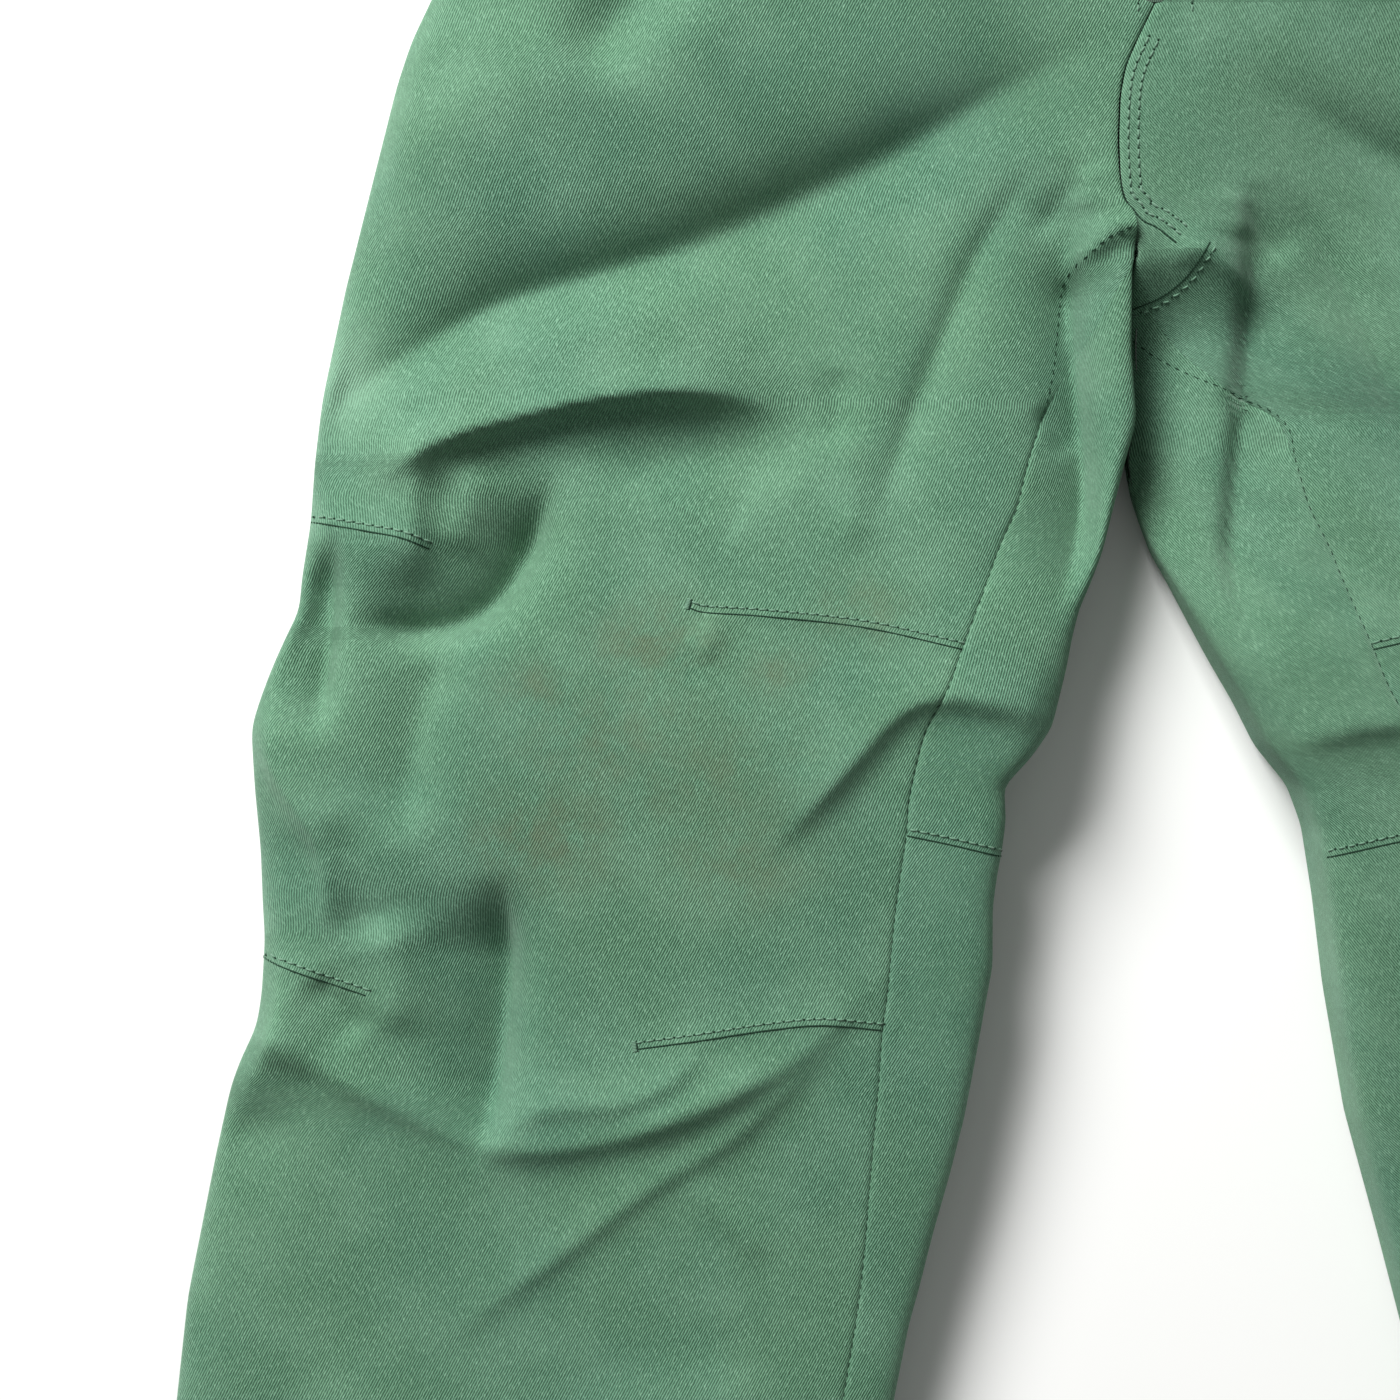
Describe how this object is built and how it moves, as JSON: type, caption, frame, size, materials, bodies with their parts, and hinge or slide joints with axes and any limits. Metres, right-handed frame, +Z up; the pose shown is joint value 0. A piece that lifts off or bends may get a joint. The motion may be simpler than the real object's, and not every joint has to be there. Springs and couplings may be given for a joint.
{
  "type": "winter sports trousers",
  "caption": "Child's long insulated-style winter sports trousers lying flat on their back, with darted knees, zip fly, snap tab, belt loops, zipped pockets and snow gaiters.",
  "frame": {"origin": "under the middle of the garment, on the surface it lies on", "axes": "+X to the wearer's left, +Y along the garment to the waist, +Z up out of the front"},
  "size_m": [0.5548, 0.6374, 0.045],
  "materials": {
    "shell": "matt green twill",
    "lining": "fine grey-green lining",
    "zip": "dark green zip tape with moulded teeth",
    "metal": "dark nickel",
    "elastic": "ribbed elastic"
  },
  "bodies": {
    "seat": {"front_hip_right": "shell", "front_hip_left": "shell", "groin_fold_right": "shell", "groin_fold_left": "shell", "back_hip_right": "shell", "back_hip_left": "shell", "seat_lining_right": "lining", "seat_lining_left": "lining", "waistband_front_right": "shell", "waistband_front_left": "shell", "waistband_back": "shell", "back_waist_elastic": "elastic", "belt_loop_front_right": "shell", "belt_loop_front_left": "shell", "belt_loop_back_right": "shell", "belt_loop_back_left": "shell", "belt_loop_centre": "shell", "fly_zip_right": "zip", "fly_zip_left": "zip", "fly_shield": "lining", "waist_snap_stud": "metal", "pocket_zip_inner_right": "zip", "pocket_zip_inner_left": "zip", "pocket_zip_outer_right": "zip", "pocket_zip_outer_left": "zip", "pocket_bag_right": "lining", "pocket_bag_left": "lining"},
    "thigh_right": {"front_thigh_right": "shell", "back_thigh_right": "shell", "back_knee_fold_right": "shell", "thigh_lining_right": "lining"},
    "shin_right": {"front_shin_right": "shell", "back_shin_right": "shell", "shin_lining_right": "lining", "hem_band_right": "shell", "snow_gaiter_right": "lining", "gaiter_elastic_right": "elastic"},
    "pocket_slider_right": {"pocket_slider_right": "metal"},
    "pocket_pull_right": {"pocket_pull_right": "metal"},
    "thigh_left": {"front_thigh_left": "shell", "back_thigh_left": "shell", "back_knee_fold_left": "shell", "thigh_lining_left": "lining"},
    "shin_left": {"front_shin_left": "shell", "back_shin_left": "shell", "shin_lining_left": "lining", "hem_band_left": "shell", "snow_gaiter_left": "lining", "gaiter_elastic_left": "elastic"},
    "pocket_slider_left": {"pocket_slider_left": "metal"},
    "pocket_pull_left": {"pocket_pull_left": "metal"},
    "fly_slider": {"fly_slider": "metal"},
    "fly_pull": {"fly_pull": "metal"},
    "waist_tab": {"waist_tab": "shell", "waist_snap_cap": "metal", "waist_snap_socket": "metal"}
  },
  "joints": [
    {"name": "hip_right", "type": "hinge", "parent": "seat", "child": "thigh_right", "pos_m": [-0.1065, 0.11372, 0.016], "axis": [-1, 0, 0], "range_deg": [0, 90], "deforming": ["groin_fold_right"]},
    {"name": "knee_right", "type": "hinge", "parent": "thigh_right", "child": "shin_right", "pos_m": [-0.134, -0.02828, 0.02], "axis": [0.9816, -0.1908, 0], "range_deg": [0, 110], "deforming": ["back_knee_fold_right"]},
    {"name": "hip_left", "type": "hinge", "parent": "seat", "child": "thigh_left", "pos_m": [0.1065, 0.11372, 0.016], "axis": [-1, 0, 0], "range_deg": [0, 90], "deforming": ["groin_fold_left"]},
    {"name": "knee_left", "type": "hinge", "parent": "thigh_left", "child": "shin_left", "pos_m": [0.134, -0.02828, 0.02], "axis": [0.9816, 0.1908, 0], "range_deg": [0, 110], "deforming": ["back_knee_fold_left"]},
    {"name": "fly_slide", "type": "slide", "parent": "seat", "child": "fly_slider", "axis": [0, -1, 0], "range_m": [0, 0.085]},
    {"name": "fly_pull_swing", "type": "hinge", "parent": "fly_slider", "child": "fly_pull", "pos_m": [0, 0.27572, 0.034], "axis": [-1, 0, 0], "range_deg": [0, 150]},
    {"name": "waist_tab_hinge", "type": "hinge", "parent": "seat", "child": "waist_tab", "pos_m": [-0.034, 0.30172, 0.0331], "axis": [0, -1, 0], "range_deg": [0, 90]},
    {"name": "pocket_slide_right", "type": "slide", "parent": "seat", "child": "pocket_slider_right", "axis": [-0.642, -0.7662, -0.0262], "range_m": [0, 0.0864]},
    {"name": "pocket_pull_swing_right", "type": "hinge", "parent": "pocket_slider_right", "child": "pocket_pull_right", "pos_m": [-0.07698, 0.26284, 0.03252], "axis": [-0.765, 0.6425, -0.0451], "range_deg": [0, 150]},
    {"name": "pocket_slide_left", "type": "slide", "parent": "seat", "child": "pocket_slider_left", "axis": [0.642, -0.7662, -0.0262], "range_m": [0, 0.0864]},
    {"name": "pocket_pull_swing_left", "type": "hinge", "parent": "pocket_slider_left", "child": "pocket_pull_left", "pos_m": [0.07698, 0.26284, 0.03252], "axis": [-0.765, -0.6425, 0.0451], "range_deg": [0, 150]}
  ]
}
